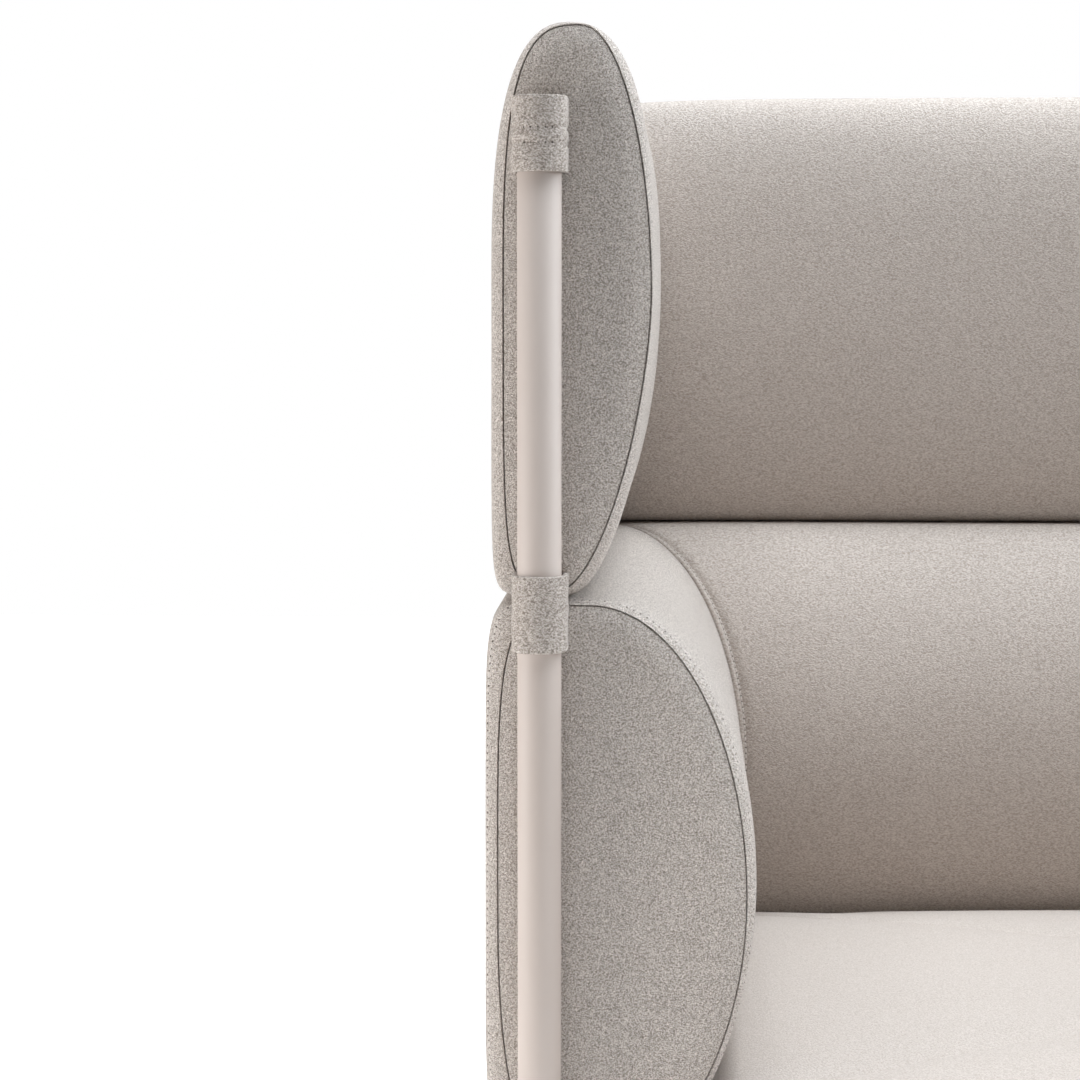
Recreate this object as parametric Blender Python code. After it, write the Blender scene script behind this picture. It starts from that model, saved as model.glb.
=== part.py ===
"""A high-backed two-seat sofa, built as its real pieces.

Felt-covered panels stand on a steel tube frame, and felt pockets and loops hold them to four posts.
Units are metres. X runs along the sofa, Y from its front to its back, and Z up from the floor.
Left and right are as seen from the front.
"""

import math

import bmesh
import bpy
from mathutils import Vector

for old in list(bpy.data.objects):
    bpy.data.objects.remove(old, do_unlink=True)

# Fits
GAP = 0.0003  # left between two pieces that touch
CUT_PAST = 0.010  # how far a cutter runs out past the piece that it cuts

# Overall layout
ARM_SPACING = 1.400  # between the spine planes of the two arms, which also hold the posts
ARM_DEPTH = 0.690  # from the arms' front faces to the spine plane of the back
PANEL_BASE = 0.362  # from the floor to the underside of the lower panels

# Lower panels, the thick roll that is arm rest and back rest
LOWER_HEIGHT = 0.414
LOWER_INNER = 0.1491  # from the spine plane to the fullest point of the inner side
LOWER_OUTER = 0.0389  # from the spine plane to the outer side
LOWER_CREST = 0.0358  # how far inward the top has its highest line
LOWER_FOOT = 0.0373  # how far inward the underside has its lowest line
LOWER_FULL = 0.210  # height of the fullest point above the underside
LOWER_TOP_INNER_POWER = 2.01  # 2 is an ellipse, and higher is squarer
LOWER_TOP_OUTER_POWER = 8.0
LOWER_FOOT_OUTER_POWER = 5.9
LOWER_FOOT_INNER_POWER = 1.87

# Upper panels, the slimmer roll that makes the high back
UPPER_HEIGHT = 0.391
UPPER_INNER = 0.0767
UPPER_OUTER = 0.0358
UPPER_CREST = 0.0193
UPPER_FOOT = 0.0173
UPPER_FULL = 0.2206
UPPER_TOP_INNER_POWER = 2.49
UPPER_TOP_OUTER_POWER = 2.61
UPPER_FOOT_OUTER_POWER = 8.0
UPPER_FOOT_INNER_POWER = 1.86

# Upholstery of the panels
FELT = 0.0022  # thickness of the covers
EDGE_RADIUS = 0.0075  # the sleeve turns in round the front edge to the end panel's seam
SEAM_DRAW = 0.003  # how far the corner seam draws the panels in
DRAW_LENGTH = 0.110  # length over which the panels swell to their full section
CORE = 0.015  # plywood
CORE_MARGIN = 0.030  # foam above, below and in front of the plywood
BRACKET_LEG = 0.060
BRACKET_HEIGHT = 0.120
BRACKET_STEEL = 0.003

# Posts and rails
TUBE_DIAMETER = 0.030
TUBE_WALL = 0.002
LOOP_FELT = 0.0037  # thickness of the felt in the pockets and loops
LOOP_HEIGHT = 0.052
LOOP_RISE = 0.0187  # how far a loop stands above the joint between the panels
POCKET_DROP = 0.0519  # from the top of the panels down to the top of a pocket
POCKET_HEAD = 0.034  # folded felt in a pocket above the end of the post

# Feet
PLUG_FLANGE = 0.010
PLUG_LENGTH = 0.030
GLIDE_RADIUS = 0.0100
GLIDE_PAD = 0.006
GLIDE_RECESS = 0.0005  # from the floor up to a glide that is wound right in
GLIDE_CHAMFER = 0.001
STUD_RADIUS = 0.004
STUD_LENGTH = 0.032

# Seat
BEARER_WIDTH = 0.040
BEARER_HEIGHT = 0.020
BEARER_INSET = 0.105  # from the seat's front and back edges to the bearers' middles
BOLT_RADIUS = 0.004
BOLT_HEAD_RADIUS = 0.0065
BOLT_HEAD = 0.008
BOLT_REACH = 0.009  # how far a bolt stands up inside the side rail
SEAT_BOARD = 0.015
SEAT_PADDING = 0.083  # from the board up to the seat's edge
SEAT_CROWN = 0.012
SEAT_EDGE = 0.022  # radius between the seat's top and its sides
SEAT_CORNER = 0.030  # radius of its corners in plan
SEAT_DRAW = 0.003  # how far its sides pull in between the corners
SEAT_CLEARANCE = 0.003  # beside the arm and back panels
SEAT_OVERHANG = 0.030  # in front of the arms' front faces

# Smoothness
QUARTER_STEPS = 7  # per quarter of a panel's section
EDGE_STEPS = 2
TUBE_SIDES = 20
SMALL_SIDES = 16
SIDE_STEPS = 4  # along each side of the seat
CORNER_STEPS = 3
CROWN_STEPS = (0.8, 0.5, 0.2)  # rings of the seat's top, as shares of its edge

# Places that follow from the sizes above
TUBE_RADIUS = TUBE_DIAMETER / 2
BAND_RADIUS = TUBE_RADIUS + GAP + LOOP_FELT
STANDOFF = BAND_RADIUS + GAP  # from a post's axis to the face that its loops are sewn to
SPINE_X = ARM_SPACING / 2
POST_Y = (STANDOFF + ARM_DEPTH + max(LOWER_OUTER, UPPER_OUTER) + STANDOFF) / 2
FRONT_FACE = -POST_Y + STANDOFF
BACK_SPINE = FRONT_FACE + ARM_DEPTH
UPPER_BASE = PANEL_BASE + LOWER_HEIGHT + GAP
PANEL_TOP = UPPER_BASE + UPPER_HEIGHT
POCKET_TOP = PANEL_TOP - POCKET_DROP
POST_TOP = POCKET_TOP - POCKET_HEAD - GAP
LOOP_TOP = UPPER_BASE + LOOP_RISE
RAIL_Z = PANEL_BASE - GAP - TUBE_RADIUS
BEARER_TOP = RAIL_Z - TUBE_RADIUS - GAP
BEARER_BOTTOM = BEARER_TOP - BEARER_HEIGHT
BOARD_BASE = BEARER_TOP + GAP
SEAT_TOP = BOARD_BASE + SEAT_BOARD + SEAT_PADDING
CORE_FRONT = FRONT_FACE + FELT + GAP + CORE_MARGIN


def material(name, colour, roughness, metallic=0.0):
    made = bpy.data.materials.new(name)
    made.use_nodes = True
    shader = made.node_tree.nodes["Principled BSDF"]
    shader.inputs["Base Color"].default_value = (*colour, 1.0)
    shader.inputs["Roughness"].default_value = roughness
    shader.inputs["Metallic"].default_value = metallic
    return made


WOOL_FELT = material("wool_felt", (0.47, 0.42, 0.39), 0.95)
POWDER_COAT = material("powder_coat", (0.60, 0.54, 0.50), 0.45)
PLYWOOD = material("birch_plywood", (0.62, 0.45, 0.28), 0.60)
FOAM = material("upholstery_foam", (0.80, 0.76, 0.62), 0.90)
NYLON = material("nylon", (0.10, 0.10, 0.10), 0.55)
ZINC_STEEL = material("zinc_plated_steel", (0.60, 0.60, 0.60), 0.35, 1.0)


def new_object(name, bm, finish, smooth_under=40):
    """Turns a bmesh into a named object with its faces pointing out."""
    bmesh.ops.recalc_face_normals(bm, faces=bm.faces[:])
    mesh = bpy.data.meshes.new(name)
    bm.to_mesh(mesh)
    bm.free()
    if finish:
        mesh.materials.append(finish)
    mesh.shade_smooth()
    mesh.set_sharp_from_angle(angle=math.radians(smooth_under))
    made = bpy.data.objects.new(name, mesh)
    bpy.context.scene.collection.objects.link(made)
    return made


def skin(bm, rings, looped=False):
    """Faces between rings of as many points each, and from the last back to the first if looped."""
    rows = [[bm.verts.new(point) for point in ring] for ring in rings]
    pairs = list(zip(rows, rows[1:]))
    if looped:
        pairs.append((rows[-1], rows[0]))
    for low, high in pairs:
        for here in range(len(low)):
            there = (here + 1) % len(low)
            bm.faces.new((low[here], low[there], high[there], high[here]))
    return rows


def solid(name, rings, finish=None):
    """A body through rings of points, closed by a flat face at each end."""
    bm = bmesh.new()
    rows = skin(bm, rings)
    bm.faces.new(rows[0])
    bm.faces.new(rows[-1])
    return new_object(name, bm, finish)


def shell(name, outer, inner, finish, capped=False):
    """A sleeve between two surfaces, open at both ends or, if capped, only at its first."""
    bm = bmesh.new()
    outside = skin(bm, outer)
    inside = skin(bm, inner)
    for end in (0,) if capped else (0, -1):
        for here in range(len(outside[end])):
            there = (here + 1) % len(outside[end])
            rim = (outside[end][here], outside[end][there], inside[end][there], inside[end][here])
            bm.faces.new(rim)
    if capped:
        bm.faces.new(outside[-1])
        bm.faces.new(inside[-1])
    return new_object(name, bm, finish)


def cutter(made):
    made.hide_render = True
    made.display_type = "WIRE"
    return made


def cut(piece, *tools):
    for tool in tools:
        change = piece.modifiers.new("cut_by_" + tool.name, "BOOLEAN")
        change.operation = "DIFFERENCE"
        change.solver = "EXACT"
        change.object = tool


def circle(axis, centre, radius, sides=TUBE_SIDES):
    """Points of a circle about the X, Y or Z direction through a centre."""
    points = []
    for step in range(sides):
        turn = 2 * math.pi * step / sides
        across = radius * math.cos(turn)
        along = radius * math.sin(turn)
        offset = {"X": (0, across, along), "Y": (across, 0, along), "Z": (across, along, 0)}[axis]
        points.append(Vector(centre) + Vector(offset))
    return points


def rod(name, axis, start, end, radius, sides=TUBE_SIDES, finish=None):
    return solid(name, [circle(axis, start, radius, sides), circle(axis, end, radius, sides)], finish)


def tube(name, axis, start, end, finish):
    outer = [circle(axis, place, TUBE_RADIUS) for place in (start, end)]
    inner = [circle(axis, place, TUBE_RADIUS - TUBE_WALL) for place in (start, end)]
    return shell(name, outer, inner, finish)


# The sections of the panels, as (inward from the spine plane, height) points


def panel_section(base, height, inner, outer, crest, foot, full, powers):
    """Four rounded quarters: inner side to top, top to outer side, outer side to foot, foot to inner."""
    quarters = (
        (crest, inner - crest, height - full),
        (crest, -outer - crest, height - full),
        (foot, -outer - foot, -full),
        (foot, inner - foot, -full),
    )
    points = []
    for index, (middle, across, up) in enumerate(quarters):
        for step in range(QUARTER_STEPS):
            turn = math.pi / 2 * step / QUARTER_STEPS
            if index % 2:
                turn = math.pi / 2 - turn
            inward = middle + across * math.sin(math.pi / 2 - turn) ** (2 / powers[index])
            level = full + up * math.sin(turn) ** (2 / powers[index])
            points.append(Vector((inward, base + level)))
    return points


LOWER_SECTION = panel_section(
    PANEL_BASE, LOWER_HEIGHT, LOWER_INNER, LOWER_OUTER, LOWER_CREST, LOWER_FOOT, LOWER_FULL,
    (LOWER_TOP_INNER_POWER, LOWER_TOP_OUTER_POWER, LOWER_FOOT_OUTER_POWER, LOWER_FOOT_INNER_POWER),
)
UPPER_SECTION = panel_section(
    UPPER_BASE, UPPER_HEIGHT, UPPER_INNER, UPPER_OUTER, UPPER_CREST, UPPER_FOOT, UPPER_FULL,
    (UPPER_TOP_INNER_POWER, UPPER_TOP_OUTER_POWER, UPPER_FOOT_OUTER_POWER, UPPER_FOOT_INNER_POWER),
)


def inset(section, depth):
    """The section moved in by a depth, square to each of its sides."""
    moved = []
    for index, here in enumerate(section):
        arriving = (here - section[index - 1]).normalized()
        leaving = (section[(index + 1) % len(section)] - here).normalized()
        first = Vector((-arriving.y, arriving.x))
        second = Vector((-leaving.y, leaving.x))
        moved.append(here + (first + second) * depth / (1 + first.dot(second)))
    return moved


def reach_at(section, level):
    """The section's outermost and innermost distance from the spine plane at a height."""
    found = []
    for index, here in enumerate(section):
        there = section[(index + 1) % len(section)]
        if min(here.y, there.y) <= level <= max(here.y, there.y) and here.y != there.y:
            share = (level - here.y) / (there.y - here.y)
            found.append(here.x + share * (there.x - here.x))
    return min(found), max(found)


# Rings of a panel at a depth below its felt surface. Arms run along Y and the back along X, and they
# meet in a mitre, where both come as far from the corner as they lie inward.


def arm_rings(side, section, depth):
    rings = []
    bend = EDGE_RADIUS - depth
    for step in range(EDGE_STEPS + 1):
        turn = math.pi / 2 * step / EDGE_STEPS
        drawn = inset(section, EDGE_RADIUS - bend * math.sin(turn))
        front = FRONT_FACE + EDGE_RADIUS - bend * math.cos(turn)
        rings.append([Vector((side * (SPINE_X - p.x), front, p.y)) for p in drawn])
    for draw, short in ((0, DRAW_LENGTH), (SEAM_DRAW, GAP)):
        drawn = inset(section, depth + draw)
        rings.append([Vector((side * (SPINE_X - p.x), BACK_SPINE - p.x - short, p.y)) for p in drawn])
    return rings


def back_rings(section, depth, past=None):
    """From mitre to mitre or, with past, that far on through the corners."""
    rings = []
    stations = [(-1, SEAM_DRAW, GAP), (-1, 0, DRAW_LENGTH), (1, 0, DRAW_LENGTH), (1, SEAM_DRAW, GAP)]
    if past:
        stations.insert(0, (-1, SEAM_DRAW, -past))
        stations.append((1, SEAM_DRAW, -past))
    for side, draw, short in stations:
        drawn = inset(section, depth + draw)
        rings.append([Vector((side * (SPINE_X - p.x - short), BACK_SPINE - p.x, p.y)) for p in drawn])
    return rings


def upright(name, plan, low, high, finish=None):
    """A plan of (x, y) points drawn up from one height to another."""
    return solid(name, [[Vector((*p, level)) for p in plan] for level in (low, high)], finish)


def arm_core_plan(side, grow, past):
    """The plywood of an arm from above, with its mitred end."""
    half = CORE / 2 + grow
    plan = []
    for inward, ahead in ((half, True), (half, False), (-half, False), (-half, True)):
        place = CORE_FRONT - grow if ahead else BACK_SPINE - inward - GAP + past
        plan.append((side * (SPINE_X - inward), place))
    return plan


def back_core_plan(grow, past):
    half = CORE / 2 + grow
    plan = []
    for side, inward in ((-1, half), (1, half), (1, -half), (-1, -half)):
        plan.append((side * (SPINE_X - inward - GAP + past), BACK_SPINE - inward))
    return plan


def bracket_plan(side, grow):
    """A steel angle in the inner corner of an arm's plywood and the back's."""
    near = CORE / 2 + GAP - grow
    thick = CORE / 2 + GAP + BRACKET_STEEL + grow
    far = CORE / 2 + GAP + BRACKET_LEG + grow
    outline = ((near, near), (far, near), (far, thick), (thick, thick), (thick, far), (near, far))
    return [(side * (SPINE_X - across), BACK_SPINE - deep) for across, deep in outline]


def panel_level(level):
    """Section, core heights and bracket heights of the lower or the upper panels."""
    section = LOWER_SECTION if level == "lower" else UPPER_SECTION
    low = min(p.y for p in section) + CORE_MARGIN
    high = max(p.y for p in section) - CORE_MARGIN
    middle = (low + high) / 2
    return section, (low, high), (middle - BRACKET_HEIGHT / 2, middle + BRACKET_HEIGHT / 2)


SIDES = (("left", -1), ("right", 1))
FOAM_DEPTH = FELT + GAP
back_outsides = []

for level in ("lower", "upper"):
    section, core_heights, bracket_heights = panel_level(level)
    core_cut = (core_heights[0] - GAP, core_heights[1] + GAP)
    bracket_cut = (bracket_heights[0] - GAP, bracket_heights[1] + GAP)
    pockets = {}
    for word, side in SIDES:
        corner = f"corner_bracket_{level}_{word}"
        upright(corner, bracket_plan(side, 0), *bracket_heights, ZINC_STEEL)
        pocket = upright(corner + "_pocket", bracket_plan(side, GAP), *bracket_cut)
        pockets[word] = cutter(pocket)

        arm = f"arm_{level}_{word}"
        shell(arm + "_cover", arm_rings(side, section, 0), arm_rings(side, section, FELT), WOOL_FELT)
        seam = inset(section, EDGE_RADIUS + GAP)
        faces = (FRONT_FACE, FRONT_FACE + FELT)
        plate = [[Vector((side * (SPINE_X - p.x), y, p.y)) for p in seam] for y in faces]
        solid(arm + "_end_panel", plate, WOOL_FELT)
        upright(arm + "_core", arm_core_plan(side, 0, 0), *core_heights, PLYWOOD)
        foam = solid(arm + "_foam", arm_rings(side, section, FOAM_DEPTH), FOAM)
        slot = cutter(upright(arm + "_slot", arm_core_plan(side, GAP, CUT_PAST), *core_cut))
        cut(foam, slot, pockets[word])

    back = f"back_{level}"
    shell(back + "_cover", back_rings(section, 0), back_rings(section, FELT), WOOL_FELT)
    upright(back + "_core", back_core_plan(0, 0), *core_heights, PLYWOOD)
    foam = solid(back + "_foam", back_rings(section, FOAM_DEPTH), FOAM)
    slot = cutter(upright(back + "_slot", back_core_plan(GAP, CUT_PAST), *core_cut))
    cut(foam, slot, pockets["left"], pockets["right"])
    outside = back_rings(section, -GAP, past=2 * BAND_RADIUS)
    back_outsides.append(cutter(solid(back + "_outside", outside)))


# Posts, feet and felt fixings. Each post stands on an empty at its foot, on the axis of its glide.


def loop_plan(x, y, away, tail):
    """A felt band from above: round the post on the far side, straight back to the panel."""
    plan = []
    half = TUBE_SIDES // 2
    for step in range(half + 1):
        turn = math.pi * step / half
        plan.append((x + BAND_RADIUS * math.cos(turn), y + away * BAND_RADIUS * math.sin(turn)))
    plan.append((x - BAND_RADIUS, y - away * tail))
    plan.append((x + BAND_RADIUS, y - away * tail))
    return plan


def felt_band(name, place, away, heights, bore_top, tail):
    x, y = place
    band = upright(name, loop_plan(x, y, away, tail), *heights, WOOL_FELT)
    start = (x, y, heights[0] - CUT_PAST)
    cut(band, cutter(rod(name + "_bore", "Z", start, (x, y, bore_top), TUBE_RADIUS + GAP)))
    if away > 0:
        cut(band, *back_outsides)
    return band


def rear_tail(levels):
    """How far a rear band reaches in from its post, to be trimmed by the back panels there."""
    drawn = [reach_at(section, level)[0] for section, level in levels]
    return POST_Y - BACK_SPINE + max(drawn) + SEAM_DRAW + LOOP_FELT


pocket_heights = (POCKET_TOP - LOOP_HEIGHT, POCKET_TOP)
loop_heights = (LOOP_TOP - LOOP_HEIGHT, LOOP_TOP)
tails = {
    "front_pocket": STANDOFF - GAP,
    "front_loop": STANDOFF - GAP,
    "rear_pocket": rear_tail(((UPPER_SECTION, POCKET_TOP),)),
    "rear_loop": rear_tail(((UPPER_SECTION, LOOP_TOP), (LOWER_SECTION, loop_heights[0]))),
}

plug_radius = TUBE_RADIUS - TUBE_WALL - GAP
recess_radius = GLIDE_RADIUS + GAP
recess_top = GLIDE_RECESS + GLIDE_PAD + GAP
plug_profile = (
    (recess_radius, 0),
    (TUBE_RADIUS, 0),
    (TUBE_RADIUS, PLUG_FLANGE),
    (plug_radius, PLUG_FLANGE),
    (plug_radius, PLUG_FLANGE + PLUG_LENGTH),
    (STUD_RADIUS + GAP, PLUG_FLANGE + PLUG_LENGTH),
    (STUD_RADIUS + GAP, recess_top),
    (recess_radius, recess_top),
)
glide_profile = (
    (GLIDE_RADIUS - GLIDE_CHAMFER, GLIDE_RECESS),
    (GLIDE_RADIUS, GLIDE_RECESS + GLIDE_CHAMFER),
    (GLIDE_RADIUS, GLIDE_RECESS + GLIDE_PAD),
    (STUD_RADIUS, GLIDE_RECESS + GLIDE_PAD),
    (STUD_RADIUS, GLIDE_RECESS + GLIDE_PAD + STUD_LENGTH),
)


def turned_rings(profile):
    return [circle("Z", (0, 0, level), radius) for radius, level in profile]


def foot_plug(name):
    bm = bmesh.new()
    skin(bm, turned_rings(plug_profile), looped=True)
    return new_object(name, bm, NYLON)


for depth, away in (("front", -1), ("rear", 1)):
    for word, side in SIDES:
        corner = f"{depth}_{word}"
        place = (side * SPINE_X, away * POST_Y)
        axis = bpy.data.objects.new(f"post_axis_{corner}", None)
        axis.location = (*place, 0)
        bpy.context.scene.collection.objects.link(axis)
        standing = (
            tube(f"post_{corner}", "Z", (0, 0, PLUG_FLANGE + GAP), (0, 0, POST_TOP), POWDER_COAT),
            foot_plug(f"foot_plug_{corner}"),
            solid(f"levelling_glide_{corner}", turned_rings(glide_profile), NYLON),
        )
        for piece in standing:
            piece.parent = axis
        felt_band(f"post_pocket_{corner}", place, away, pocket_heights, POST_TOP + GAP,
                  tails[depth + "_pocket"])
        felt_band(f"post_loop_{corner}", place, away, loop_heights, LOOP_TOP + CUT_PAST,
                  tails[depth + "_loop"])


# Seat, its board and what it rests on

seat_reach = reach_at(LOWER_SECTION, SEAT_TOP)[1] + SEAT_CLEARANCE
seat_half = SPINE_X - seat_reach
seat_front = FRONT_FACE - SEAT_OVERHANG
seat_back = BACK_SPINE - seat_reach
seat_middle = (seat_front + seat_back) / 2
seat_deep = (seat_back - seat_front) / 2


def seat_plan(depth):
    """The seat from above, moved in by a depth: round corners, and sides drawn in between them."""
    plan = []
    corners = ((1, 1, 0), (-1, 1, 1), (-1, -1, 2), (1, -1, 3))
    radius = SEAT_CORNER - depth
    for x_side, y_side, quarter in corners:
        middle = Vector((x_side * (seat_half - SEAT_CORNER), y_side * (seat_deep - SEAT_CORNER)))
        for step in range(CORNER_STEPS + 1):
            turn = math.pi / 2 * (quarter + step / CORNER_STEPS)
            plan.append(middle + radius * Vector((math.cos(turn), math.sin(turn))))
        last = plan[-1]
        along_y = quarter % 2 == 1
        run = 2 * ((seat_deep if along_y else seat_half) - SEAT_CORNER)
        forward = Vector((0, -y_side)) if along_y else Vector((-x_side, 0))
        inward = Vector((-x_side, 0)) if along_y else Vector((0, -y_side))
        for step in range(1, SIDE_STEPS):
            share = step / SIDE_STEPS
            plan.append(last + forward * run * share + inward * SEAT_DRAW * math.sin(math.pi * share))
    return [Vector((p.x, p.y + seat_middle)) for p in plan]


def seat_ring(depth, level, share=1.0):
    centre = Vector((0, seat_middle))
    return [Vector((*(centre + (p - centre) * share), level)) for p in seat_plan(depth)]


def seat_rings(depth, base):
    """Up the sides, round the edge and over the crown, at a depth below the felt surface."""
    rings = [seat_ring(depth, base)]
    bend = SEAT_EDGE - depth
    edge_steps = EDGE_STEPS + 1
    for step in range(edge_steps + 1):
        turn = math.pi / 2 * step / edge_steps
        level = SEAT_TOP - SEAT_EDGE + bend * math.sin(turn)
        rings.append(seat_ring(SEAT_EDGE - bend * math.cos(turn), level))
    for share in CROWN_STEPS:
        rings.append(seat_ring(SEAT_EDGE, SEAT_TOP - depth + SEAT_CROWN * (1 - share**2), share))
    return rings


board_top = BOARD_BASE + SEAT_BOARD
shell("seat_cover", seat_rings(0, BOARD_BASE), seat_rings(FELT, BOARD_BASE), WOOL_FELT, capped=True)
solid("seat_foam", seat_rings(FOAM_DEPTH, board_top + GAP), FOAM)
board = [seat_ring(FOAM_DEPTH, BOARD_BASE), seat_ring(FOAM_DEPTH, board_top)]
solid("seat_board", board, PLYWOOD)

bearer_places = (("front", seat_front + BEARER_INSET), ("rear", seat_back - BEARER_INSET))
bolt_holes = {word: [] for word, side in SIDES}
for depth, y in bearer_places:
    end = SPINE_X + TUBE_RADIUS
    rings = {}
    for skin_depth in (0, TUBE_WALL):
        half = BEARER_WIDTH / 2 - skin_depth
        low = BEARER_BOTTOM + skin_depth
        high = BEARER_TOP - skin_depth
        outline = ((y - half, low), (y + half, low), (y + half, high), (y - half, high))
        rings[skin_depth] = [[Vector((x, *p)) for p in outline] for x in (-end, end)]
    bearer = shell(f"seat_bearer_{depth}", rings[0], rings[TUBE_WALL], POWDER_COAT)
    for word, side in SIDES:
        name = f"bearer_bolt_{depth}_{word}"
        x = side * SPINE_X
        head_top = BEARER_BOTTOM - GAP
        bolt_top = RAIL_Z - TUBE_RADIUS + TUBE_WALL + BOLT_REACH
        profile = (
            (BOLT_HEAD_RADIUS, head_top - BOLT_HEAD),
            (BOLT_HEAD_RADIUS, head_top),
            (BOLT_RADIUS, head_top),
            (BOLT_RADIUS, bolt_top),
        )
        rings_of_bolt = [circle("Z", (x, y, level), radius, SMALL_SIDES) for radius, level in profile]
        solid(name, rings_of_bolt, ZINC_STEEL)
        hole = rod(name + "_hole", "Z", (x, y, BEARER_BOTTOM - CUT_PAST), (x, y, bolt_top),
                   BOLT_RADIUS + GAP, SMALL_SIDES)
        bolt_holes[word].append(cutter(hole))
        cut(bearer, hole)


# Rails, cut to the round of what they are welded to

for word, side in SIDES:
    x = side * SPINE_X
    rail = tube(f"side_rail_{word}", "Y", (x, -POST_Y, RAIL_Z), (x, POST_Y, RAIL_Z), POWDER_COAT)
    for depth, away in (("front", -1), ("rear", 1)):
        y = away * POST_Y
        low = RAIL_Z - TUBE_DIAMETER
        high = RAIL_Z + TUBE_DIAMETER
        cope = rod(f"cope_{depth}_{word}", "Z", (x, y, low), (x, y, high), TUBE_RADIUS + GAP)
        cut(rail, cutter(cope))
    cut(rail, *bolt_holes[word])

rear_rail = tube("rear_rail", "X", (-SPINE_X, BACK_SPINE, RAIL_Z), (SPINE_X, BACK_SPINE, RAIL_Z), POWDER_COAT)
for word, side in SIDES:
    start = (side * SPINE_X, BACK_SPINE - TUBE_DIAMETER, RAIL_Z)
    end = (side * SPINE_X, BACK_SPINE + TUBE_DIAMETER, RAIL_Z)
    cut(rear_rail, cutter(rod(f"cope_back_{word}", "Y", start, end, TUBE_RADIUS + GAP)))
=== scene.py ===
"""Looks for a high-backed two-seat sofa: felt-covered panels and a felt seat on a powder-coated tube frame.

Metres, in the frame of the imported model. X runs along the sofa, Y from front to back, Z up.
"""

import math

import bmesh
import bpy
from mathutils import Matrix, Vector, noise


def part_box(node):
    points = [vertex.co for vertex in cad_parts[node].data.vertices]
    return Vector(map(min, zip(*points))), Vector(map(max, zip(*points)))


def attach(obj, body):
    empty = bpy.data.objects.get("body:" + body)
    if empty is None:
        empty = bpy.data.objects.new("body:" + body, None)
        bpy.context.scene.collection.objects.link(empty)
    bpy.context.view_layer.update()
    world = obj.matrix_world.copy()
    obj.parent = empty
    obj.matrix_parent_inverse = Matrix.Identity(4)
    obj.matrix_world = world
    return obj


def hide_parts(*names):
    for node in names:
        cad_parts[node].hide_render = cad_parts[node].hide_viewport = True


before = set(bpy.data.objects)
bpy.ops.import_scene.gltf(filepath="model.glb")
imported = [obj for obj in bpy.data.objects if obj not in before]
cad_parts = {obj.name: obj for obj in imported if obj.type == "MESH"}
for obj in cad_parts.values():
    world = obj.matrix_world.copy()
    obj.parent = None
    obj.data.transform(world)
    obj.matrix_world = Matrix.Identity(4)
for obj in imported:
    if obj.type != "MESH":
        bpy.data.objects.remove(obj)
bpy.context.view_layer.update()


# Feet. Each post ends in a nylon plug that is pressed into the tube and stands on the floor, and in the
# plug a nylon glide on a screw stud winds down to level the sofa. Both are injection moulded.

CORNERS = {"front_left": -1, "front_right": -1, "rear_left": 1, "rear_right": 1}  # outward along Y
FIT_GAP = 0.0003  # left between two pieces that touch
TURNED_SIDES = 64
PLUG_BEVEL = 0.0008
GLIDE_EDGE = 0.0018  # reach of the round under the glide's pad
GLIDE_SHOULDER = 0.00048  # and how far in the round is at its middle
STUD_RADIUS = 0.004
STUD_CHAMFER = 0.001
GLIDE_PAD = 0.006
PLUG_FLANGE = 0.010
TUBE_WALL = 0.002
NYLON_COLOUR = "#2B2A29"
NYLON_WORN_COLOUR = "#3A3937"
MOULD_GRAIN = 0.0006  # spark-eroded texture of the mould
MOULD_DEPTH = 0.00005
SCUFF_WIDTH = 0.00556


def linear(hex_colour):
    """An sRGB hex colour as linear RGBA."""
    channels = []
    for start in (1, 3, 5):
        value = int(hex_colour[start : start + 2], 16) / 255
        channels.append(value / 12.92 if value <= 0.04045 else ((value + 0.055) / 1.055) ** 2.4)
    return (*channels, 1.0)


def add_node(finish, kind, inputs, **settings):
    """One shader node with its settings, its inputs given as plain values or as other nodes' outputs."""
    made = finish.node_tree.nodes.new(kind)
    for name, value in settings.items():
        setattr(made, name, value)
    for socket, value in inputs.items():
        if isinstance(value, bpy.types.NodeSocket):
            finish.node_tree.links.new(value, made.inputs[socket])
        else:
            made.inputs[socket].default_value = value
    return made


def new_finish(name, constants):
    """A material with these constants on its shader."""
    finish = bpy.data.materials.new(name)
    finish.use_nodes = True
    shader = finish.node_tree.nodes["Principled BSDF"]
    for socket, value in constants.items():
        shader.inputs[socket].default_value = value
    return finish, shader


def skin(bm, rings, looped=False):
    """Faces between rings of as many points each, joined into a loop or closed by a face at both ends."""
    rows = [[bm.verts.new(point) for point in ring] for ring in rings]
    pairs = list(zip(rows, rows[1:]))
    if looped:
        pairs.append((rows[-1], rows[0]))
    for low, high in pairs:
        for here in range(len(low)):
            there = (here + 1) % len(low)
            bm.faces.new((low[here], low[there], high[there], high[here]))
    if not looped:
        bm.faces.new(rows[0])
        bm.faces.new(rows[-1])


def axis_place(low, high):
    """Where the upright axis of a turned piece stands, from the corners of its box."""
    return Vector(((low.x + high.x) / 2, (low.y + high.y) / 2, 0))


def turned(bm, place, profile, looped=False):
    """A body turned about an upright axis, from a profile of (radius, height) points."""
    rings = []
    for radius, height in profile:
        ring = []
        for step in range(TURNED_SIDES):
            turn = 2 * math.pi * step / TURNED_SIDES
            ring.append(Vector((radius * math.cos(turn), radius * math.sin(turn), height)) + place)
        rings.append(ring)
    skin(bm, rings, looped)


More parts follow.
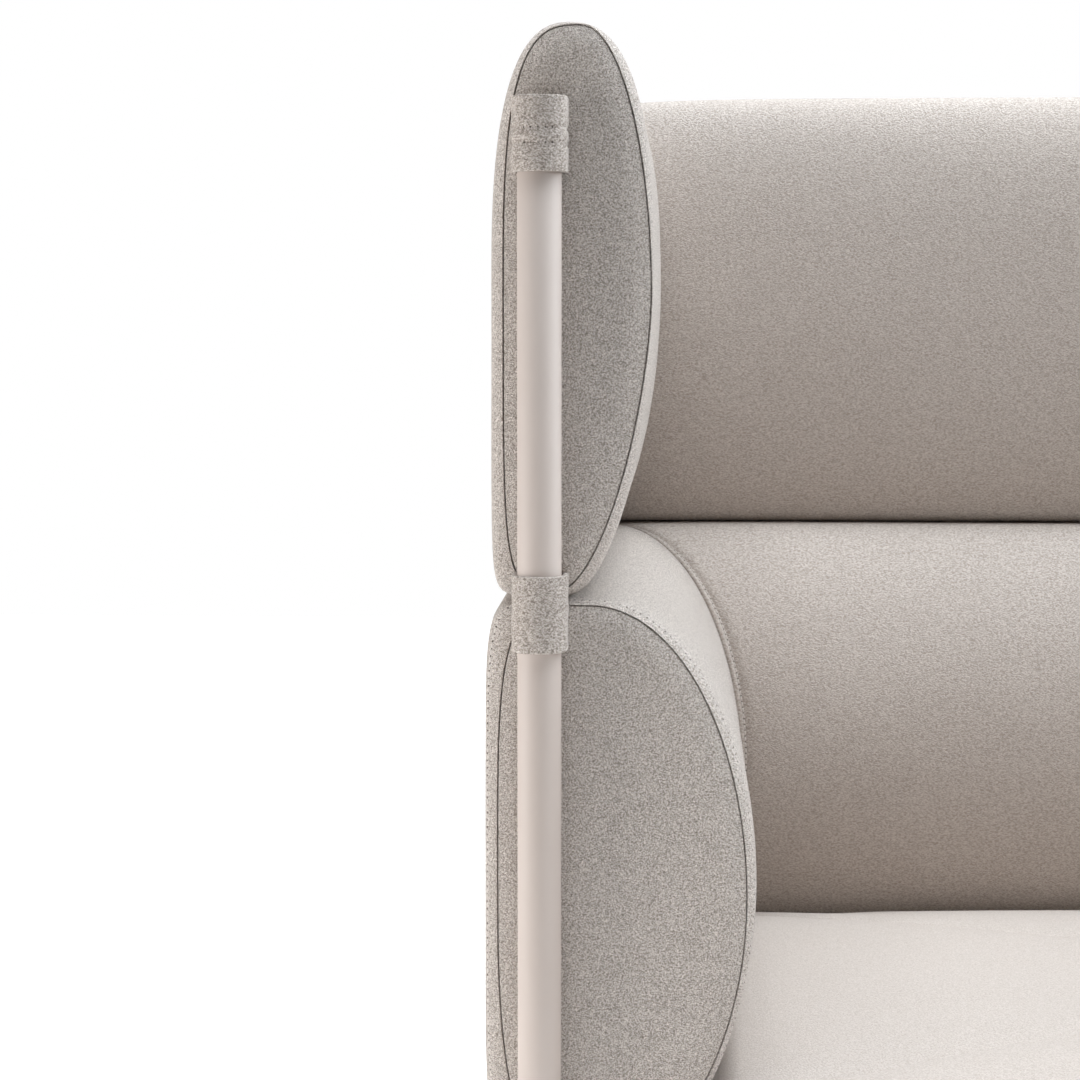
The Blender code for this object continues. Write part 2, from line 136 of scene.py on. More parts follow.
def finish_piece(name, bm, finishes, nodes=(), body="sofa", sharp=50):
    """Makes the piece with its finishes, sets what it rides on, and hides the model's nodes that it stands
    for.

    Edges between faces that meet at more than the sharp angle, in degrees, stay crisp.
    """
    bmesh.ops.recalc_face_normals(bm, faces=bm.faces[:])
    mesh = bpy.data.meshes.new(name)
    bm.to_mesh(mesh)
    bm.free()
    for finish in finishes:
        mesh.materials.append(finish)
    mesh.shade_smooth()
    mesh.set_sharp_from_angle(angle=math.radians(sharp))
    piece = bpy.data.objects.new(name, mesh)
    bpy.context.scene.collection.objects.link(piece)
    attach(piece, body)
    if nodes:
        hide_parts(*nodes)
    return piece


# Moulded nylon: near black, half matt from the mould's texture, and a little greyer where it is scuffed.
nylon, shader = new_finish("moulded_nylon", {"Roughness": 0.5, "IOR": 1.53})
place = add_node(nylon, "ShaderNodeTexCoord", {})
grain = add_node(nylon, "ShaderNodeTexNoise", {"Vector": place.outputs["Object"], "Scale": 1 / MOULD_GRAIN})
scuffs = add_node(
    nylon, "ShaderNodeTexNoise",
    {"Vector": place.outputs["Object"], "Scale": 1 / SCUFF_WIDTH, "Detail": 4},
)
tone = add_node(
    nylon, "ShaderNodeMix",
    {0: scuffs.outputs["Fac"], 6: linear(NYLON_COLOUR), 7: linear(NYLON_WORN_COLOUR)}, data_type="RGBA",
)
dents = add_node(nylon, "ShaderNodeBump", {"Height": grain.outputs["Fac"], "Distance": MOULD_DEPTH})
nylon.node_tree.links.new(tone.outputs[2], shader.inputs["Base Color"])
nylon.node_tree.links.new(dents.outputs["Normal"], shader.inputs["Normal"])

for corner in CORNERS:
    low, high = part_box("foot_plug_" + corner)
    place = axis_place(low, high)
    flange = (high.x - low.x) / 2
    pad_low, pad_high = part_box("levelling_glide_" + corner)
    pad = (pad_high.x - pad_low.x) / 2
    recess = pad + FIT_GAP
    stem = flange - TUBE_WALL - FIT_GAP
    bore = STUD_RADIUS + FIT_GAP
    recess_top = pad_low.z + GLIDE_PAD + FIT_GAP
    bm = bmesh.new()
    plug = (
        (recess, low.z), (flange - PLUG_BEVEL, low.z), (flange, low.z + PLUG_BEVEL),
        (flange, PLUG_FLANGE - PLUG_BEVEL), (flange - PLUG_BEVEL, PLUG_FLANGE), (stem, PLUG_FLANGE),
        (stem, high.z), (bore, high.z), (bore, recess_top), (recess, recess_top),
    )
    turned(bm, place, plug, looped=True)
    finish_piece("foot_plug_" + corner + "_moulded", bm, [nylon], ["foot_plug_" + corner])
    bm = bmesh.new()
    glide = (
        (pad - GLIDE_EDGE, pad_low.z), (pad - GLIDE_SHOULDER, pad_low.z + GLIDE_SHOULDER),
        (pad, pad_low.z + GLIDE_EDGE), (pad, pad_low.z + GLIDE_PAD),
        (STUD_RADIUS, pad_low.z + GLIDE_PAD), (STUD_RADIUS, pad_high.z - STUD_CHAMFER),
        (STUD_RADIUS - STUD_CHAMFER, pad_high.z),
    )
    turned(bm, place, glide)
    glide_body = "glide_" + corner
    finish_piece(glide_body + "_moulded", bm, [nylon], ["levelling_glide_" + corner], glide_body)


# Posts. Four round steel tubes carry everything. They are cut square, welded to the rails and powder
# coated in the same warm pale grey as the felt.

TUBE_RADIUS = 0.015
TUBE_BEVEL = 0.0006
COAT_COLOUR = "#B3A59C"
COAT_SHADE_COLOUR = "#AFA198"
COAT_ROUGHNESS = (0.52, 0.60)
COAT_CLOUD = 0.0714  # width of the patches in which tone and gloss drift
ORANGE_PEEL = 0.0022  # width of the waves that powder leaves as it melts
PEEL_DEPTH = 0.00002

# Powder coat: satin polyester melted over steel, with soft waves and an even, slightly warm tone.
powder_coat, shader = new_finish("satin_powder_coat", {"Roughness": 0.56, "IOR": 1.5})
place = add_node(powder_coat, "ShaderNodeTexCoord", {})
waves = add_node(
    powder_coat, "ShaderNodeTexNoise",
    {"Vector": place.outputs["Object"], "Scale": 1 / ORANGE_PEEL, "Detail": 2},
)
cloud = add_node(
    powder_coat, "ShaderNodeTexNoise", {"Vector": place.outputs["Object"], "Scale": 1 / COAT_CLOUD}
)
tone = add_node(
    powder_coat, "ShaderNodeMix",
    {0: cloud.outputs["Fac"], 6: linear(COAT_COLOUR), 7: linear(COAT_SHADE_COLOUR)}, data_type="RGBA",
)
gloss = add_node(
    powder_coat, "ShaderNodeMapRange",
    {"Value": cloud.outputs["Fac"], "To Min": COAT_ROUGHNESS[0], "To Max": COAT_ROUGHNESS[1]},
)
peel = add_node(powder_coat, "ShaderNodeBump", {"Height": waves.outputs["Fac"], "Distance": PEEL_DEPTH})
powder_coat.node_tree.links.new(tone.outputs[2], shader.inputs["Base Color"])
powder_coat.node_tree.links.new(gloss.outputs["Result"], shader.inputs["Roughness"])
powder_coat.node_tree.links.new(peel.outputs["Normal"], shader.inputs["Normal"])

post_places = {}
for corner in CORNERS:
    low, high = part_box("post_" + corner)
    place = axis_place(low, high)
    post_places[corner] = place
    bore = TUBE_RADIUS - TUBE_WALL
    bm = bmesh.new()
    post = (
        (bore, low.z), (TUBE_RADIUS - TUBE_BEVEL, low.z), (TUBE_RADIUS, low.z + TUBE_BEVEL),
        (TUBE_RADIUS, high.z - TUBE_BEVEL), (TUBE_RADIUS - TUBE_BEVEL, high.z), (bore, high.z),
    )
    turned(bm, place, post, looped=True)
    finish_piece("post_" + corner + "_tube", bm, [powder_coat], ["post_" + corner])


# Rails. Three tubes of the posts' size tie the posts together under the panels. Their ends are cut to
# the round of what they meet and welded all round, and the welds are coated over.

WELD_RADIUS = 0.0022
WELD_RIPPLE = 0.0003
WELD_PITCH = 0.0035
WELD_SIDES = 8
RAIL_SIDES = 64


def strand(bm, path, ups, radii, sides, looped=False):
    """A round strand along a path. Ups point out of the surface that it lies on."""
    rings = []
    count = len(path)
    for index, here in enumerate(path):
        before = path[index - 1] if looped or index else here
        after = path[(index + 1) % count] if looped or index + 1 < count else here
        along = (after - before).normalized()
        across = along.cross(ups[index]).normalized()
        lift = across.cross(along)
        ring = []
        for step in range(sides):
            turn = 2 * math.pi * step / sides
            ring.append(here + (across * math.cos(turn) + lift * math.sin(turn)) * radii[index])
        rings.append(ring)
    skin(bm, rings, looped)


def saddle_ring(start, direction, radius, met):
    """The end of a tube that is cut to the round of another, and the way out of its surface there."""
    sideways = Vector((direction.y, -direction.x, 0))
    points = []
    ways = []
    for step in range(RAIL_SIDES):
        turn = 2 * math.pi * step / RAIL_SIDES
        across = math.cos(turn)
        upward = math.sin(turn)
        hidden = across if met == "post" else upward
        reach = math.sqrt(max(0, (TUBE_RADIUS + FIT_GAP) ** 2 - (radius * hidden) ** 2))
        way = sideways * across + Vector((0, 0, upward))
        points.append(start + direction * reach + way * radius)
        ways.append(way)
    return points, ways


def rail(name, start, end, met):
    """One rail between the axes of the two tubes that it is welded to."""
    direction = (end - start).normalized()
    bore = TUBE_RADIUS - TUBE_WALL
    bm = bmesh.new()
    rings = [
        saddle_ring(start, direction, bore, met)[0],
        saddle_ring(start, direction, TUBE_RADIUS, met)[0],
        list(reversed(saddle_ring(end, -direction, TUBE_RADIUS, met)[0])),
        list(reversed(saddle_ring(end, -direction, bore, met)[0])),
    ]
    half = RAIL_SIDES // 2
    for index in (2, 3):
        rings[index] = rings[index][half - 1 :] + rings[index][: half - 1]
    skin(bm, rings, looped=True)
    for place, way in ((start, direction), (end, -direction)):
        path, ways = saddle_ring(place, way, TUBE_RADIUS, met)
        sizes = []
        for step in range(RAIL_SIDES):
            walked = 2 * math.pi * TUBE_RADIUS * step / RAIL_SIDES
            sizes.append(WELD_RADIUS + WELD_RIPPLE * math.sin(2 * math.pi * walked / WELD_PITCH))
        strand(bm, path, ways, sizes, WELD_SIDES, looped=True)
    finish_piece(name + "_tube", bm, [powder_coat], [name])


rail_low, rail_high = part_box("side_rail_left")
RAIL_Z = (rail_low.z + rail_high.z) / 2
for word in ("left", "right"):
    start = post_places["front_" + word] + Vector((0, 0, RAIL_Z))
    end = post_places["rear_" + word] + Vector((0, 0, RAIL_Z))
    rail("side_rail_" + word, start, end, "post")
rear_low, rear_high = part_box("rear_rail")
rear_y = (rear_low.y + rear_high.y) / 2
start = Vector((post_places["rear_left"].x, rear_y, RAIL_Z))
end = Vector((post_places["rear_right"].x, rear_y, RAIL_Z))
rail("rear_rail", start, end, "rail")


# Seat bearers. Two flat steel tubes lie across under the side rails and carry the seat board. Each end is
# bolted up into its rail by a zinc-plated cap screw, and the tubes are coated like the posts.

BEARER_CORNER = 0.003
BEARER_CORNER_INSIDE = 0.0006  # the least radius in the tube's inner corners
BEARER_CORNER_STEPS = 5
CRISP = 35  # degrees between faces above which these pieces' edges are sharp
BOLT_RADIUS = 0.004
SOCKET_RADIUS = 0.0035
SOCKET_DEPTH = 0.004
BOLT_BEVEL = 0.0006
ZINC_COLOUR = "#B9BBBE"
ZINC_TINT_COLOUR = "#A9AAA6"
ZINC_CLOUD = 0.0025
ZINC_ROUGHNESS = (0.28, 0.45)


def flat_tube_outline(middle, half_wide, low, high, depth):
    """The rounded section of a bearer, moved in by a depth, as (y, z) points."""
    radius = max(BEARER_CORNER - depth, BEARER_CORNER_INSIDE)
    points = []
    for quarter, (y_side, z_side) in enumerate(((1, 1), (-1, 1), (-1, -1), (1, -1))):
        y = middle + y_side * (half_wide - depth - radius)
        z = (high - depth - radius) if z_side > 0 else (low + depth + radius)
        for step in range(BEARER_CORNER_STEPS + 1):
            turn = math.pi / 2 * (quarter + step / BEARER_CORNER_STEPS)
            points.append((y + radius * math.cos(turn), z + radius * math.sin(turn)))
    return points


# Zinc plate: a thin bright plating on steel, faintly cloudy, with the passivation's warm tint.
zinc_steel, shader = new_finish("zinc_plated_steel", {"Roughness": 0.35, "Metallic": 1.0})
place = add_node(zinc_steel, "ShaderNodeTexCoord", {})
cloud = add_node(
    zinc_steel, "ShaderNodeTexNoise",
    {"Vector": place.outputs["Object"], "Scale": 1 / ZINC_CLOUD, "Detail": 3},
)
tone = add_node(
    zinc_steel, "ShaderNodeMix",
    {0: cloud.outputs["Fac"], 6: linear(ZINC_COLOUR), 7: linear(ZINC_TINT_COLOUR)}, data_type="RGBA",
)
dull = add_node(
    zinc_steel, "ShaderNodeMapRange",
    {"Value": cloud.outputs["Fac"], "To Min": ZINC_ROUGHNESS[0], "To Max": ZINC_ROUGHNESS[1]},
)
zinc_steel.node_tree.links.new(tone.outputs[2], shader.inputs["Base Color"])
zinc_steel.node_tree.links.new(dull.outputs["Result"], shader.inputs["Roughness"])

for end in ("front", "rear"):
    name = "seat_bearer_" + end
    low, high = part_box(name)
    middle = (low.y + high.y) / 2
    half_wide = (high.y - low.y) / 2
    bm = bmesh.new()
    rings = []
    for x, inward in ((low.x, TUBE_WALL), (low.x, 0), (high.x, 0), (high.x, TUBE_WALL)):
        outline = flat_tube_outline(middle, half_wide, low.z, high.z, inward)
        rings.append([Vector((x, *point)) for point in outline])
    skin(bm, rings, looped=True)
    finish_piece(name + "_tube", bm, [powder_coat], [name], sharp=CRISP)
    for word in ("left", "right"):
        bolt = f"bearer_bolt_{end}_{word}"
        low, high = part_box(bolt)
        place = axis_place(low, high)
        head = (high.x - low.x) / 2
        head_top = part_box(name)[0].z - FIT_GAP
        bm = bmesh.new()
        screw = (
            (SOCKET_RADIUS, low.z + SOCKET_DEPTH), (SOCKET_RADIUS, low.z), (head - BOLT_BEVEL, low.z),
            (head, low.z + BOLT_BEVEL), (head, head_top), (BOLT_RADIUS, head_top),
            (BOLT_RADIUS, high.z - BOLT_BEVEL), (BOLT_RADIUS - BOLT_BEVEL, high.z),
        )
        turned(bm, place, screw)
        finish_piece(bolt + "_screw", bm, [zinc_steel], [bolt], sharp=CRISP)


# Panel boards. Birch plywood stands in the middle of every panel, joined at the corners by steel angles.
# They are inside the foam, so they keep the model's own shape and only take their material.

PLY_COLOUR = "#CDB48E"
PLY_DARK_COLOUR = "#B4966B"
PLY_GRAIN = 0.004  # spacing of the growth lines in the rotary-cut face veneer
PLY_STRETCH = (0.08, 0.6, 1.0)  # the grain runs along the sofa
PLY_WAVINESS = 0.8
PLY_PORES = 0.00006

# Birch plywood: pale rotary-cut veneer, long flowing grain, sanded and unvarnished.
plywood, shader = new_finish("birch_plywood", {"Roughness": 0.6, "IOR": 1.5})
place = add_node(plywood, "ShaderNodeTexCoord", {})
stretch = add_node(
    plywood, "ShaderNodeMapping", {"Vector": place.outputs["Object"], "Scale": PLY_STRETCH}
)
grain = add_node(
    plywood, "ShaderNodeTexNoise",
    {"Vector": stretch.outputs["Vector"], "Scale": 1 / PLY_GRAIN, "Detail": 3, "Distortion": PLY_WAVINESS},
)
tone = add_node(
    plywood, "ShaderNodeMix",
    {0: grain.outputs["Fac"], 6: linear(PLY_COLOUR), 7: linear(PLY_DARK_COLOUR)}, data_type="RGBA",
)
pores = add_node(plywood, "ShaderNodeBump", {"Height": grain.outputs["Fac"], "Distance": PLY_PORES})
plywood.node_tree.links.new(tone.outputs[2], shader.inputs["Base Color"])
plywood.node_tree.links.new(pores.outputs["Normal"], shader.inputs["Normal"])

for name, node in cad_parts.items():
    board = name.endswith("_core") or name == "seat_board"
    if board or name.startswith("corner_bracket"):
        node.data.materials.clear()
        node.data.materials.append(plywood if board else zinc_steel)


# Panels. A lower and an upper roll run round the two arms and the back. Each is foam in a tight sleeve of
# felt, 2 mm thick, that is mitred and sewn at the corners, and the lower ones are topstitched there.

# Each section is measured from the spine plane and the panel's underside: how far up it starts, its height,
# how far it reaches inward and outward, where its crest, foot and fullest point are, and the powers of its
# four quarters, from the top inner one round the outside, where 2 is an ellipse and more is squarer. LOWER
# and UPPER are the full sections, and the others are the seams round the end panels.
LOWER = {
    "rise": 0, "height": 0.414, "inner": 0.1491, "outer": 0.0405, "crest": 0.0358, "foot": 0.0373,
    "full": 0.210, "powers": (2.01, 9.0, 5.9, 1.87),
}
LOWER_END = {
    "rise": 0.0091, "height": 0.4010, "inner": 0.1424, "outer": 0.0302, "crest": 0.0337, "foot": 0.0266,
    "full": 0.196, "powers": (2.0, 4.7, 2.64, 1.98),
}
UPPER = {
    "rise": 0, "height": 0.392, "inner": 0.0767, "outer": 0.0353, "crest": 0.0193, "foot": 0.0173,
    "full": 0.2206, "powers": (2.49, 2.61, 13.0, 1.86),
}
UPPER_END = {
    "rise": 0.0064, "height": 0.382, "inner": 0.0750, "outer": 0.0259, "crest": 0.0271, "foot": 0.0146,
    "full": 0.2005, "powers": (1.96, 3.15, 5.34, 1.6),
}
OUTLINE_POINTS = 256
OUTLINE_FINE = 160  # steps per quarter before the points are spaced evenly
SPINE_X = post_places["front_right"].x
FRONT_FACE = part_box("arm_lower_left_end_panel")[0].y
BACK_SPINE = rear_y
FLARE = 0.0055  # how fast the sleeve swells behind the end panel's seam to its full section
FLARE_END = 0.032
SEAM_LIP = 0.0006  # round of a cut felt edge in a seam
HALF_ROUND = 0.3  # share of a round edge's radius by which it is cut back at its middle
SEAM_DEPTH = 0.0055
SEAM_GAP = 0.0006
CORNER_DRAW = 0.0015  # how far the corner seam draws the panels' faces in
CREST_DRAW = {"lower": 1.6, "upper": 4.0}  # and their crests, as a share of that
DRAW_LENGTH = 0.055
ARM_LIP = 0.0003  # round of the felt where it turns into the corner seam
BACK_LIP = 0.0010
LIP_LENGTH = 0.0007
STITCH_ROW = 0.0076  # back from the end panel's seam
CORNER_STITCH_ROW = 0.0080  # from the corner seam
STITCH_SINK = 0.0002
STITCH_SINK_WIDTH = 0.0015
CORNER_SINK = 0.0016
CORNER_SINK_WIDTH = 0.0024
MITRE_STATIONS = (0.0032, 0.0040, 0.0048, 0.0056, 0.0064, 0.0072, 0.0080, 0.0090, 0.0104,
                  0.0125, 0.017, 0.024, 0.034, 0.050, 0.075)
ARM_STATIONS = (0.0003, 0.0005, 0.0009, 0.0015, 0.0022) + MITRE_STATIONS
BACK_STATIONS = {  # the lower panels' corner seam is a little open, the upper ones' is closed
    "lower": (0.0015, 0.0018, 0.0023) + MITRE_STATIONS,
    "upper": (0.0003, 0.0008, 0.0018) + MITRE_STATIONS,
}
FRONT_STATIONS = (0.0003, 0.0007, 0.0012, 0.0018, 0.0025, 0.0033, 0.0042, 0.0050, 0.0058, 0.0066,
                  0.0074, 0.0084, 0.010, 0.012, 0.015, 0.019, 0.025, FLARE_END)
ARM_STEPS = 22
BACK_STEPS = 48
SOFTNESS = 0.0012  # unevenness of foam under felt
SOFT_SPAN = 0.16
FELT_TINT_COLOUR = "#F6F4F2"
FELT_FINE = 0.0006
FUZZ_SHARE = 0.2
TUFT_WAVINESS = 0.5
WOOL_SPREAD = (0.41, 0.59)  # levels of the tufts' pattern at which the wool is all dark and all pale
FIBRE_LAYS = {  # tufts' width, length in widths, degrees from level, height of the pile, dark and pale wool
    "wool_felt": (0.0005, 2.5, 38, 0.0021, "#7E7268", "#E0D5CC"),
    "wool_felt_long": (0.0008, 3.0, 22, 0.0014, "#A3968C", "#CABFB6"),
    "wool_felt_smooth": (0.0007, 2.0, 8, 0.0008, "#ACA096", "#C1B6AE"),
    "wool_felt_band": (0.0007, 2.5, 30, 0.0021, "#7F7369", "#CFC4BB"),
}


def panel_outline(base, rise, height, inner, outer, crest, foot, full, powers):
    """A panel's section as evenly spaced (inward from the spine plane, height) points."""
    base += rise
    quarters = (
        (crest, inner - crest, height - full),
        (crest, -outer - crest, height - full),
        (foot, -outer - foot, -full),
        (foot, inner - foot, -full),
    )
    dense = []
    for index, (middle, across, up) in enumerate(quarters):
        for step in range(OUTLINE_FINE):
            turn = math.pi / 2 * step / OUTLINE_FINE
            if index % 2:
                turn = math.pi / 2 - turn
            inward = middle + across * math.sin(math.pi / 2 - turn) ** (2 / powers[index])
            level = full + up * math.sin(turn) ** (2 / powers[index])
            dense.append(Vector((inward, base + level)))
    walked = [0.0]
    for index in range(len(dense)):
        walked.append(walked[-1] + (dense[(index + 1) % len(dense)] - dense[index]).length)
    points = []
    index = 0
    for step in range(OUTLINE_POINTS):
        target = walked[-1] * step / OUTLINE_POINTS
        while walked[index + 1] < target:
            index += 1
        share = (target - walked[index]) / (walked[index + 1] - walked[index])
        points.append(dense[index].lerp(dense[(index + 1) % len(dense)], share))
    points = [
        (points[i - 1] + 2 * points[i] + points[(i + 1) % OUTLINE_POINTS]) / 4
        for i in range(OUTLINE_POINTS)
    ]
    lowest = min(point.y for point in points)
    stretch = height / (max(point.y for point in points) - lowest)
    return [Vector((point.x, base + (point.y - lowest) * stretch)) for point in points]


def ways_out(outline):
    """The way out of the section at each of its points."""
    ways = []
    for index in range(len(outline)):
        along = outline[(index + 1) % len(outline)] - outline[index - 1]
        ways.append(Vector((along.y, -along.x)).normalized())
    return ways


def soften(point, way, amount):
    """A point of a padded surface, moved in or out a little, but not where two panels lie on each other."""
    lift = noise.noise(point / SOFT_SPAN) * SOFTNESS * amount * (1 - way.z**2)
    return point + way * lift


def sunk_row(distance, row, sink, width):
    """How deep a row of stitches draws the felt in, at a distance from the seam."""
    return sink * math.exp(-(((distance - row) / width) ** 2))


def arm_drawn_in(distance):
    """How deep an arm lies below its full section, at a distance from the corner seam."""
    lip = ARM_LIP * math.exp((ARM_STATIONS[0] - distance) / LIP_LENGTH)
    return CORNER_DRAW * math.exp(-distance / DRAW_LENGTH) + lip


def back_drawn_in(distance, level):
    """The same for the back. The lower one turns into an open seam and is topstitched there."""
    depth = CORNER_DRAW * math.exp(-distance / DRAW_LENGTH)
    if level == "lower":
        depth += BACK_LIP * math.exp((BACK_STATIONS[level][0] - distance) / LIP_LENGTH)
        depth += sunk_row(distance, CORNER_STITCH_ROW, CORNER_SINK, CORNER_SINK_WIDTH)
    return depth


def freedom(ways, level):
    """How far each point of a section is drawn in: most along its crest, not at all along its foot."""
    return [1 - abs(way.y) + CREST_DRAW[level] * max(0, way.y) for way in ways]


def flared(seam, full, back):
    """The sleeve's section at a distance behind the front, and how steeply it still swells there."""
    most = 1 - math.exp(-FLARE_END / FLARE)
    share = (1 - math.exp(-back / FLARE)) / most
    steepness = math.exp(-back / FLARE) / most / FLARE
    section = [here.lerp(there, share) for here, there in zip(seam, full)]
    slopes = [(there - here).dot(way) * steepness for here, there, way in zip(seam, full, ways_out(full))]
    return section, slopes


def arm_point(side, point, way, depth, y, amount):
    """A point of an arm's section, a depth inside its surface, and softened by an amount."""
    place = Vector((side * (SPINE_X - point.x + way.x * depth), y, point.y - way.y * depth))
    return soften(place, Vector((-side * way.x, 0, way.y)), amount)


def arm_rings(side, seam, outline, level):
    """The sleeve of an arm from the end panel's seam to its mitre."""
    ways = ways_out(outline)
    rings = []
    half_turned = SEAM_LIP * HALF_ROUND
    for out, back in ((0, SEAM_DEPTH), (0, SEAM_LIP), (half_turned, half_turned), (SEAM_LIP, 0)):
        y = FRONT_FACE + back
        rings.append([arm_point(side, p, w, -out, y, 0) for p, w in zip(seam, ways_out(seam))])
    for back in FRONT_STATIONS:
        section = flared(seam, outline, back)[0]
        depth = -SEAM_LIP * math.exp(-back / SEAM_LIP)
        if level == "lower":
            depth += sunk_row(back, STITCH_ROW, STITCH_SINK, STITCH_SINK_WIDTH)
        y = FRONT_FACE + back
        rings.append([arm_point(side, p, w, depth, y, back / FLARE_END) for p, w in zip(section, ways)])
    start = FRONT_FACE + FLARE_END
    for step in range(1, ARM_STEPS):
        share = step / ARM_STEPS
        ring = []
        for p, w, free in zip(outline, ways, freedom(ways, level)):
            end = BACK_SPINE - p.x
            y = start + (end - MITRE_STATIONS[-1] - start) * share
            ring.append(arm_point(side, p, w, arm_drawn_in(end - y) * free, y, 1))
        rings.append(ring)
    for run in reversed(ARM_STATIONS):
        amount = min(1, run / MITRE_STATIONS[-1])
        ring = []
        for p, w, free in zip(outline, ways, freedom(ways, level)):
            depth = arm_drawn_in(run) * free
            y = BACK_SPINE - p.x + w.x * depth - run
            ring.append(arm_point(side, p, w, depth, y, amount))
        rings.append(ring)
    return rings


def back_point(point, way, depth, x, amount):
    """A point of the back's section, made in the same way as an arm's."""
    place = Vector((x, BACK_SPINE - point.x + way.x * depth, point.y - way.y * depth))
    return soften(place, Vector((0, -way.x, way.y)), amount)


def back_rings(outline, level):
    """The sleeve of the back from mitre to mitre."""
    ways = ways_out(outline)
    frees = freedom(ways, level)
    ends = {}
    for side in (-1, 1):
        ends[side] = []
        for run in BACK_STATIONS[level]:
            amount = min(1, run / MITRE_STATIONS[-1])
            ring = []
            for p, w, free in zip(outline, ways, frees):
                depth = back_drawn_in(run, level) * free
                x = side * (SPINE_X - p.x + w.x * depth - run)
                ring.append(back_point(p, w, depth, x, amount))
            ends[side].append(ring)
    rings = list(ends[-1])
    for step in range(1, BACK_STEPS):
        share = step / BACK_STEPS * 2 - 1
        ring = []
        for p, w, free in zip(outline, ways, frees):
            half = SPINE_X - p.x
            x = (half - MITRE_STATIONS[-1]) * share
            ring.append(back_point(p, w, back_drawn_in(half - abs(x), level) * free, x, 1))
        rings.append(ring)
    return rings + ends[1][::-1]


def wool_felt(name):
    """Milled melange wool: matt, pale and dark tufts in streaks, and fine fibres that light up its rims."""
    width, length, slope, pile_height, dark, pale = FIBRE_LAYS[name]
    finish, shader = new_finish(
        name,
        {"Roughness": 0.95, "IOR": 1.45, "Specular IOR Level": 0.2, "Sheen Weight": 0.2,
         "Sheen Roughness": 0.3, "Sheen Tint": linear(FELT_TINT_COLOUR)},
    )
    place = add_node(finish, "ShaderNodeTexCoord", {})
    tufts = []
    for turn in (math.radians(slope), -math.radians(slope)):
        slant = add_node(
            finish, "ShaderNodeMapping", {"Vector": place.outputs["Object"], "Rotation": (0, turn, turn)}
        )
        stretch = add_node(
            finish, "ShaderNodeMapping",
            {"Vector": slant.outputs["Vector"], "Scale": (1 / length, 1 / length, 1)},
        )
        tufts.append(add_node(
            finish, "ShaderNodeTexNoise",
            {"Vector": stretch.outputs["Vector"], "Scale": 1 / width, "Detail": 1,
             "Distortion": TUFT_WAVINESS},
        ))
    crossed = add_node(
        finish, "ShaderNodeMix", {0: 0.5, 2: tufts[0].outputs["Fac"], 3: tufts[1].outputs["Fac"]},
        data_type="FLOAT",
    )
    fuzz = add_node(
        finish, "ShaderNodeTexNoise", {"Vector": place.outputs["Object"], "Scale": 1 / FELT_FINE, "Detail": 1}
    )
    height = add_node(
        finish, "ShaderNodeMix", {0: FUZZ_SHARE, 2: crossed.outputs[0], 3: fuzz.outputs["Fac"]},
        data_type="FLOAT",
    )
    spread = add_node(
        finish, "ShaderNodeMapRange",
        {"Value": height.outputs[0], "From Min": WOOL_SPREAD[0], "From Max": WOOL_SPREAD[1]},
    )
    tone = add_node(
        finish, "ShaderNodeMix",
        {0: spread.outputs["Result"], 6: linear(dark), 7: linear(pale)}, data_type="RGBA",
    )
    pile = add_node(finish, "ShaderNodeBump", {"Height": height.outputs[0], "Distance": pile_height})
    finish.node_tree.links.new(tone.outputs[2], shader.inputs["Base Color"])
    finish.node_tree.links.new(pile.outputs["Normal"], shader.inputs["Normal"])
    return finish


felt = wool_felt("wool_felt")
long_felt = wool_felt("wool_felt_long")
smooth_felt = wool_felt("wool_felt_smooth")
band_felt = wool_felt("wool_felt_band")

panel_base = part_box("arm_lower_left_cover")[0].z
upper_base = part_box("arm_upper_left_cover")[0].z
outlines = {"lower": panel_outline(panel_base, **LOWER), "upper": panel_outline(upper_base, **UPPER)}
seams = {"lower": panel_outline(panel_base, **LOWER_END), "upper": panel_outline(upper_base, **UPPER_END)}
SIDES = {"left": -1, "right": 1}

for level, outline in outlines.items():
    for word, side in SIDES.items():
        arm = f"arm_{level}_{word}"
        bm = bmesh.new()
        skin(bm, arm_rings(side, seams[level], outline, level))
        sleeve = finish_piece(arm + "_sleeve", bm, [felt], [arm + "_cover", arm + "_foam"])
    back = f"back_{level}"
    bm = bmesh.new()
    skin(bm, back_rings(outline, level))
    sleeve = finish_piece(back + "_sleeve", bm, [long_felt], [back + "_cover", back + "_foam"])


# End panels. The front of each arm is closed by a flat piece of the same felt, sewn into the sleeve edge
# to edge, so that a fine dark seam runs round it.

PLATE_BACK = 0.0026  # how far its cut edge goes back into the seam
PLATE_SWELL = 0.0042  # how far the felt stands forward of its seam
PLATE_ROLL = 0.018  # width of the rounded border that falls away to the seam
PLATE_DEPTHS = (0.0013, 0.0028, 0.0046, 0.0068, 0.0095, 0.0130, 0.018)
PLATE_SHARES = (0.3, 0.6, 0.9)


def middle_line(outline):
    """For each point of an end panel's outline, the nearest point of the upright line in its middle."""
    left = min(point.x for point in outline)
    half = (max(point.x for point in outline) - left) / 2
    low = min(point.y for point in outline) + half
    high = max(point.y for point in outline) - half
    return [Vector((left + half, min(max(point.y, low), high))) for point in outline]


